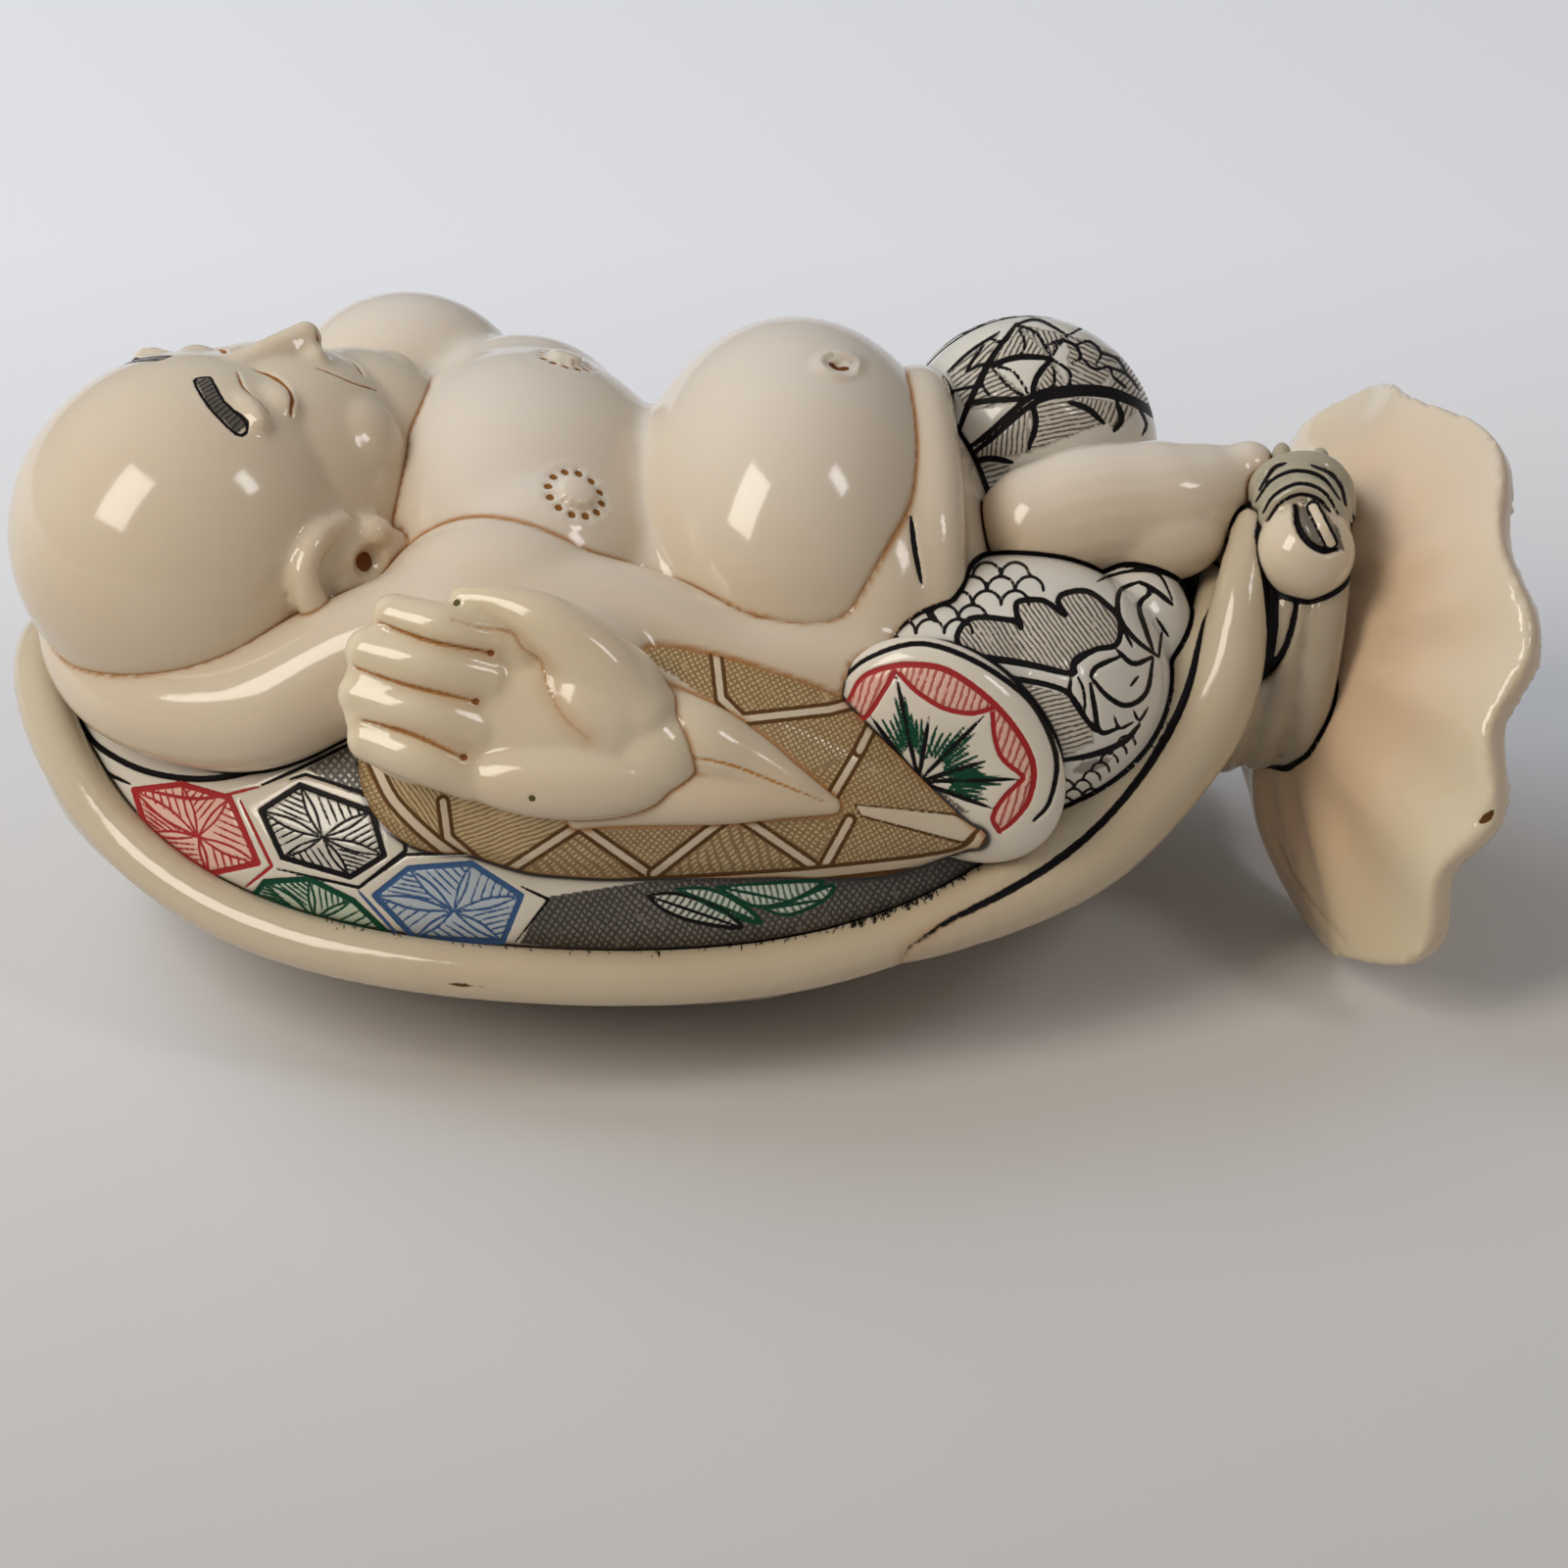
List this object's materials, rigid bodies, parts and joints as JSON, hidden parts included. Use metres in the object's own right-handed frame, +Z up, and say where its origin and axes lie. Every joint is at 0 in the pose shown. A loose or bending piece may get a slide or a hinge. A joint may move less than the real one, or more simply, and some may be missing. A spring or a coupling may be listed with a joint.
{
  "type": "sleeping buddha figurine",
  "caption": "Small carved figurine of a bald, pot-bellied sage asleep on his back in a tied cloth sack with a frilled mouth.",
  "frame": {"origin": "middle of the bounding box on the flat underside of the sack", "axes": "+X from the crown of the head to the frilled mouth of the sack, +Z up, and the near side with the open hand and the round badge faces -Y"},
  "size_m": [0.062, 0.0346, 0.0255],
  "materials": {
    "ivory": "polished ivory-coloured carving, amber stain in the creases, engraved lines filled with black, red, green, blue and brown"
  },
  "bodies": {
    "root": {"figurine": "ivory"}
  },
  "joints": []
}
